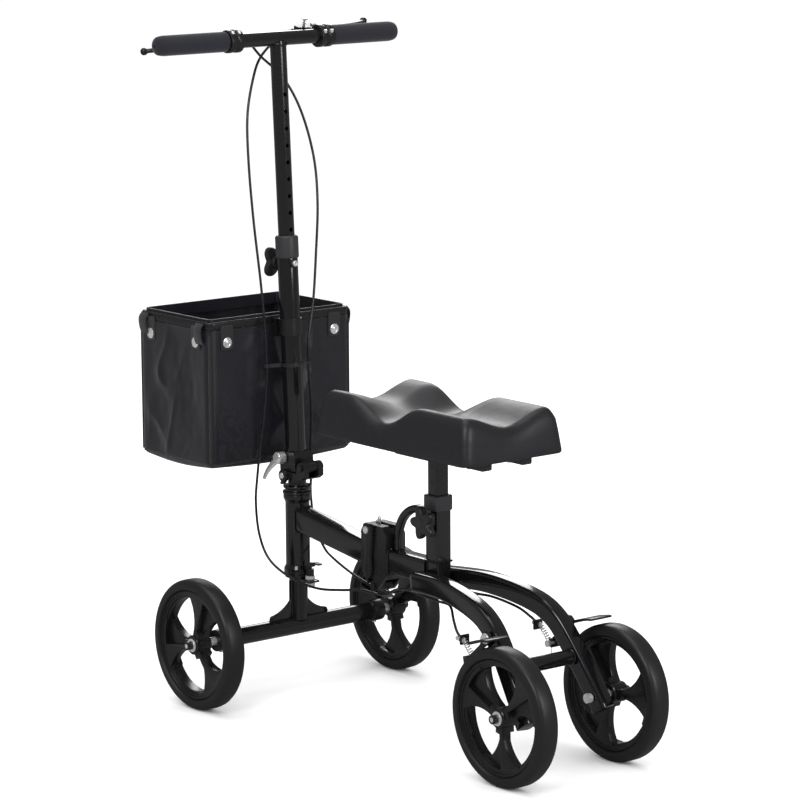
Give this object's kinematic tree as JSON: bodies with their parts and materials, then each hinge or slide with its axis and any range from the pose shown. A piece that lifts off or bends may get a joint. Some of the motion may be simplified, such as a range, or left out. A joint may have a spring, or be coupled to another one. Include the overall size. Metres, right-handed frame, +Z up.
{
  "type": "knee scooter",
  "caption": "Folding knee scooter with a steered front axle, hand brakes, a knee pad, a height-adjustable stem and a lift-off basket.",
  "frame": {"origin": "middle of the bounding box at floor level", "axes": "+X forward, +Y the rider's left, +Z up"},
  "size_m": [0.9506, 0.46, 1.047],
  "materials": {
    "black_paint": "gloss black powder coat",
    "black_cast": "black coated castings and pressings",
    "zinc_steel": "zinc plated",
    "chrome": "polished",
    "tyre_rubber": "matte polyurethane",
    "wheel_plastic": "satin moulding",
    "pad_skin": "fine-grained moulded skin",
    "grip_foam": "matte foam",
    "grey_plastic": "dark grey moulding",
    "knob_plastic": "black moulding",
    "black_nylon": "satin woven nylon",
    "cable_skin": "black housing"
  },
  "bodies": {
    "rear_frame": {"seat_tube": "black_paint", "seat_collar": "grey_plastic", "rear_beam": "black_paint", "leg_left": "black_paint", "leg_right": "black_paint", "rear_cross_tube": "black_paint", "carry_handle": "black_paint", "clamp_rear": "black_cast", "axle_bolt_rl": "zinc_steel", "axle_bolt_rr": "zinc_steel", "cable_a_rear": "cable_skin", "cable_b_rear": "cable_skin"},
    "front_frame": {"clamp_front": "black_cast", "head_tube": "black_paint", "main_beam": "black_paint"},
    "frame_latch": {"frame_latch": "black_cast"},
    "steering": {"steerer_tube": "black_paint", "front_axle_tube": "black_paint", "fold_base": "black_cast", "axle_bolt_fl": "zinc_steel", "axle_bolt_fr": "zinc_steel", "cable_a_lower": "cable_skin", "cable_b_lower": "cable_skin"},
    "lock_plunger": {"lock_plunger": "black_cast"},
    "fold_catch": {"fold_catch": "knob_plastic"},
    "column": {"fold_knuckle": "black_cast", "column_tube": "black_paint", "column_bush": "grey_plastic", "cable_clip": "knob_plastic", "basket_bracket": "black_cast", "cable_a_middle": "cable_skin", "cable_b_middle": "cable_skin"},
    "column_knob": {"column_knob": "knob_plastic"},
    "fold_lever": {"fold_lever": "chrome"},
    "stem": {"handlebar": "black_paint", "grip_left": "grip_foam", "grip_right": "grip_foam", "lever_perch_left": "black_cast", "lever_perch_right": "black_cast", "cable_a_upper": "cable_skin", "cable_b_upper": "cable_skin"},
    "brake_lever_left": {"brake_lever_left": "black_cast"},
    "brake_lever_right": {"brake_lever_right": "black_cast"},
    "parking_pin_left": {"parking_pin_left": "zinc_steel"},
    "parking_pin_right": {"parking_pin_right": "zinc_steel"},
    "basket": {"basket_bag": "black_nylon", "basket_rim": "black_cast"},
    "seat": {"knee_pad": "pad_skin", "seat_post": "black_paint"},
    "seat_knob": {"seat_knob": "knob_plastic"},
    "wheel_rl": {"wheel_rl": "wheel_plastic", "tyre_rl": "tyre_rubber"},
    "wheel_rr": {"wheel_rr": "wheel_plastic", "tyre_rr": "tyre_rubber"},
    "wheel_fl": {"wheel_fl": "wheel_plastic", "tyre_fl": "tyre_rubber"},
    "wheel_fr": {"wheel_fr": "wheel_plastic", "tyre_fr": "tyre_rubber"},
    "brake_arm_left": {"brake_arm_left": "black_cast"},
    "brake_arm_right": {"brake_arm_right": "black_cast"}
  },
  "joints": [
    {"name": "frame_fold", "type": "hinge", "parent": "rear_frame", "child": "front_frame", "pos_m": [0.0343, 0, 0.205], "axis": [0, 1, 0], "range_deg": [0, 90]},
    {"name": "frame_latch_open", "type": "hinge", "parent": "front_frame", "child": "frame_latch", "pos_m": [0.0433, 0, 0.292], "axis": [0, -1, 0], "range_deg": [0, 100]},
    {"name": "steer", "type": "hinge", "parent": "front_frame", "child": "steering", "pos_m": [0.2493, 0, 0.102], "axis": [0, 0, 1], "range_deg": [-45, 45], "deforming": ["cable_a_lower", "cable_b_lower"]},
    {"name": "steering_lock", "type": "slide", "parent": "steering", "child": "lock_plunger", "axis": [0, 0, 1], "range_m": [0, 0.008], "stiffness_N_per_m": 300},
    {"name": "column_fold", "type": "hinge", "parent": "steering", "child": "column", "pos_m": [0.2153, 0, 0.359], "axis": [0, 1, 0], "range_deg": [-25, 0], "deforming": ["cable_a_middle", "cable_b_middle"]},
    {"name": "fold_lever_open", "type": "hinge", "parent": "column", "child": "fold_lever", "pos_m": [0.25897, 0, 0.37052], "axis": [0, 1, 0], "range_deg": [0, 110]},
    {"name": "fold_catch_lift", "type": "hinge", "parent": "steering", "child": "fold_catch", "pos_m": [0.2543, 0.02, 0.343], "axis": [0, -1, 0], "range_deg": [0, 30]},
    {"name": "stem_height", "type": "slide", "parent": "column", "child": "stem", "axis": [0.0541, 0, 0.9985], "range_m": [-0.13, 0.05], "deforming": ["cable_a_upper", "cable_b_upper"]},
    {"name": "column_knob_turn", "type": "hinge", "parent": "column", "child": "column_knob", "pos_m": [0.28324, 0, 0.67265], "axis": [0.9985, 0, -0.0541], "continuous": true},
    {"name": "basket_lift", "type": "slide", "parent": "column", "child": "basket", "axis": [0, 0, 1], "range_m": [0, 0.04]},
    {"name": "brake_lever_left_pull", "type": "hinge", "parent": "stem", "child": "brake_lever_left", "pos_m": [0.31639, 0.0895, 1.01251], "axis": [0.2096, 0, 0.9778], "range_deg": [0, 13], "stiffness_Nm_per_rad": 1},
    {"name": "parking_pin_left_press", "type": "slide", "parent": "stem", "child": "parking_pin_left", "axis": [0.2096, 0, 0.9778], "range_m": [-0.004, 0], "stiffness_N_per_m": 400},
    {"name": "brake_lever_right_pull", "type": "hinge", "parent": "stem", "child": "brake_lever_right", "pos_m": [0.31617, -0.0895, 1.02645], "axis": [0.2402, 0, -0.9707], "range_deg": [0, 13], "stiffness_Nm_per_rad": 1},
    {"name": "parking_pin_right_press", "type": "slide", "parent": "stem", "child": "parking_pin_right", "axis": [-0.2402, 0, 0.9707], "range_m": [-0.004, 0], "stiffness_N_per_m": 400},
    {"name": "seat_height", "type": "slide", "parent": "rear_frame", "child": "seat", "axis": [0, 0, 1], "range_m": [-0.05, 0.05]},
    {"name": "seat_knob_turn", "type": "hinge", "parent": "rear_frame", "child": "seat_knob", "pos_m": [-0.0977, 0.014, 0.326], "axis": [0, 1, 0], "continuous": true},
    {"name": "wheel_rl_spin", "type": "hinge", "parent": "rear_frame", "child": "wheel_rl", "pos_m": [-0.3737, 0.106, 0.1016], "axis": [0, 1, 0], "continuous": true},
    {"name": "wheel_rr_spin", "type": "hinge", "parent": "rear_frame", "child": "wheel_rr", "pos_m": [-0.3737, -0.106, 0.1016], "axis": [0, 1, 0], "continuous": true},
    {"name": "wheel_fl_spin", "type": "hinge", "parent": "steering", "child": "wheel_fl", "pos_m": [0.2493, 0.192, 0.1016], "axis": [0, 1, 0], "continuous": true},
    {"name": "wheel_fr_spin", "type": "hinge", "parent": "steering", "child": "wheel_fr", "pos_m": [0.2493, -0.192, 0.1016], "axis": [0, 1, 0], "continuous": true},
    {"name": "brake_arm_left_press", "type": "hinge", "parent": "rear_frame", "child": "brake_arm_left", "pos_m": [-0.3017, 0.076, 0.198], "axis": [0, -1, 0], "range_deg": [0, 5.2]},
    {"name": "brake_arm_right_press", "type": "hinge", "parent": "rear_frame", "child": "brake_arm_right", "pos_m": [-0.3017, -0.076, 0.198], "axis": [0, -1, 0], "range_deg": [0, 5.2]}
  ],
  "couplings": [
    {"joint": "brake_arm_left_press", "follows": "brake_lever_right_pull", "ratio": 0.4},
    {"joint": "brake_arm_right_press", "follows": "brake_lever_left_pull", "ratio": 0.4}
  ]
}
